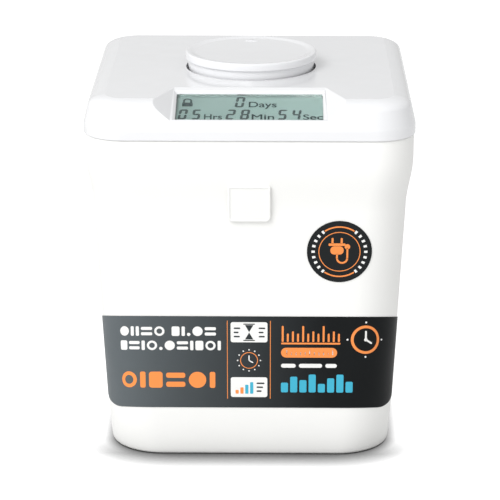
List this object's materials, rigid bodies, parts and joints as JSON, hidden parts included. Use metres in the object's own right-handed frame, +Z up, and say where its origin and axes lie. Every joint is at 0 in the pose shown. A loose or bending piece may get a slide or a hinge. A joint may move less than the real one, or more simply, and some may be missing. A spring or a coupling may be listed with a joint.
{
  "type": "timed lock container",
  "caption": "Countertop lock box: tapered tub with a lift-off lid that a dial-set timer bolts shut, small display in the lid, charging port with plug in the front.",
  "frame": {"origin": "middle of the underside, on the surface it stands on", "axes": "+Z up through the dial's axis, -Y towards the front with the display, +X to the right seen from the front"},
  "size_m": [0.16, 0.16, 0.1906],
  "materials": {
    "tub_plastic": "satin off-white moulding",
    "lid_plastic": "glossy white moulding",
    "label_film": "dark printed film, satin",
    "window_glass": "clear, polished",
    "display_glass": "grey-green reflective liquid-crystal panel",
    "board": "green solder mask",
    "ribbon": "amber film",
    "black_plastic": "moulded black",
    "works_plastic": "moulded natural white",
    "cam_plastic": "acetal, self-lubricating",
    "steel": "bright plated",
    "brass": "machined",
    "cell_jacket": "plain printed jacket",
    "red_wire": "insulated lead",
    "black_wire": "insulated lead"
  },
  "bodies": {
    "base": {"base_tub": "tub_plastic", "front_label": "label_film", "round_sticker": "label_film"},
    "plug": {"port_plug": "tub_plastic"},
    "lid": {"lid_cover": "lid_plastic", "lid_tray": "works_plastic", "display_window": "window_glass", "display_panel": "display_glass", "display_ribbon": "ribbon", "circuit_board": "board", "encoder_body": "black_plastic", "motor_can": "steel", "motor_gearbox": "brass", "motor_bracket": "steel", "motor_leads": "red_wire", "battery_1": "cell_jacket", "battery_2": "cell_jacket", "battery_springs": "steel", "battery_terminals": "steel", "battery_bridge": "steel", "battery_leads": "black_wire", "case_screws": "steel"},
    "rotor": {"encoder_rotor": "works_plastic"},
    "dial": {"dial_shaft": "steel", "dial_collar": "lid_plastic", "dial_cap": "lid_plastic"},
    "plunger": {"switch_plunger": "black_plastic"},
    "cam": {"cam_wheel": "cam_plastic"},
    "pinion": {"motor_shaft": "steel", "motor_pinion": "brass"},
    "bolt_left": {"left_bolt": "cam_plastic"},
    "bolt_right": {"right_bolt": "cam_plastic"},
    "door": {"battery_door": "works_plastic"}
  },
  "joints": [
    {"name": "lid_lift", "type": "slide", "parent": "base", "child": "lid", "axis": [0, 0, 1], "range_m": [0, 0.1]},
    {"name": "port_plug_pull", "type": "slide", "parent": "base", "child": "plug", "axis": [0, -1, 0], "range_m": [0, 0.025]},
    {"name": "dial_turn", "type": "hinge", "parent": "lid", "child": "rotor", "pos_m": [0, 0, 0.1787], "axis": [0, 0, 1], "continuous": true},
    {"name": "dial_press", "type": "slide", "parent": "rotor", "child": "dial", "axis": [0, 0, -1], "range_m": [0, 0.0008], "stiffness_N_per_m": 1500, "springref_m": -0.002},
    {"name": "plunger_press", "type": "slide", "parent": "lid", "child": "plunger", "axis": [0, 0, -1], "range_m": [0, 0.0008]},
    {"name": "cam_turn", "type": "hinge", "parent": "lid", "child": "cam", "pos_m": [0, 0, 0.1495], "axis": [0, 0, 1], "range_deg": [0, 60]},
    {"name": "pinion_turn", "type": "hinge", "parent": "lid", "child": "pinion", "pos_m": [-0.02546, -0.02546, 0.1495], "axis": [0, 0, 1], "range_deg": [-300.1, 0.1]},
    {"name": "bolt_left_slide", "type": "slide", "parent": "lid", "child": "bolt_left", "axis": [-1, 0, 0], "range_m": [0, 0.00371]},
    {"name": "bolt_right_slide", "type": "slide", "parent": "lid", "child": "bolt_right", "axis": [1, 0, 0], "range_m": [0, 0.00371]},
    {"name": "battery_door_swing", "type": "hinge", "parent": "lid", "child": "door", "pos_m": [0, 0.03995, 0.1455], "axis": [-1, 0, 0], "range_deg": [0, 90]}
  ],
  "couplings": [
    {"joint": "plunger_press", "follows": "dial_press", "ratio": 1},
    {"joint": "pinion_turn", "follows": "cam_turn", "ratio": -5},
    {"joint": "bolt_left_slide", "follows": "cam_turn", "m_per_rad": 0.0035332},
    {"joint": "bolt_right_slide", "follows": "cam_turn", "m_per_rad": 0.0035332}
  ]
}
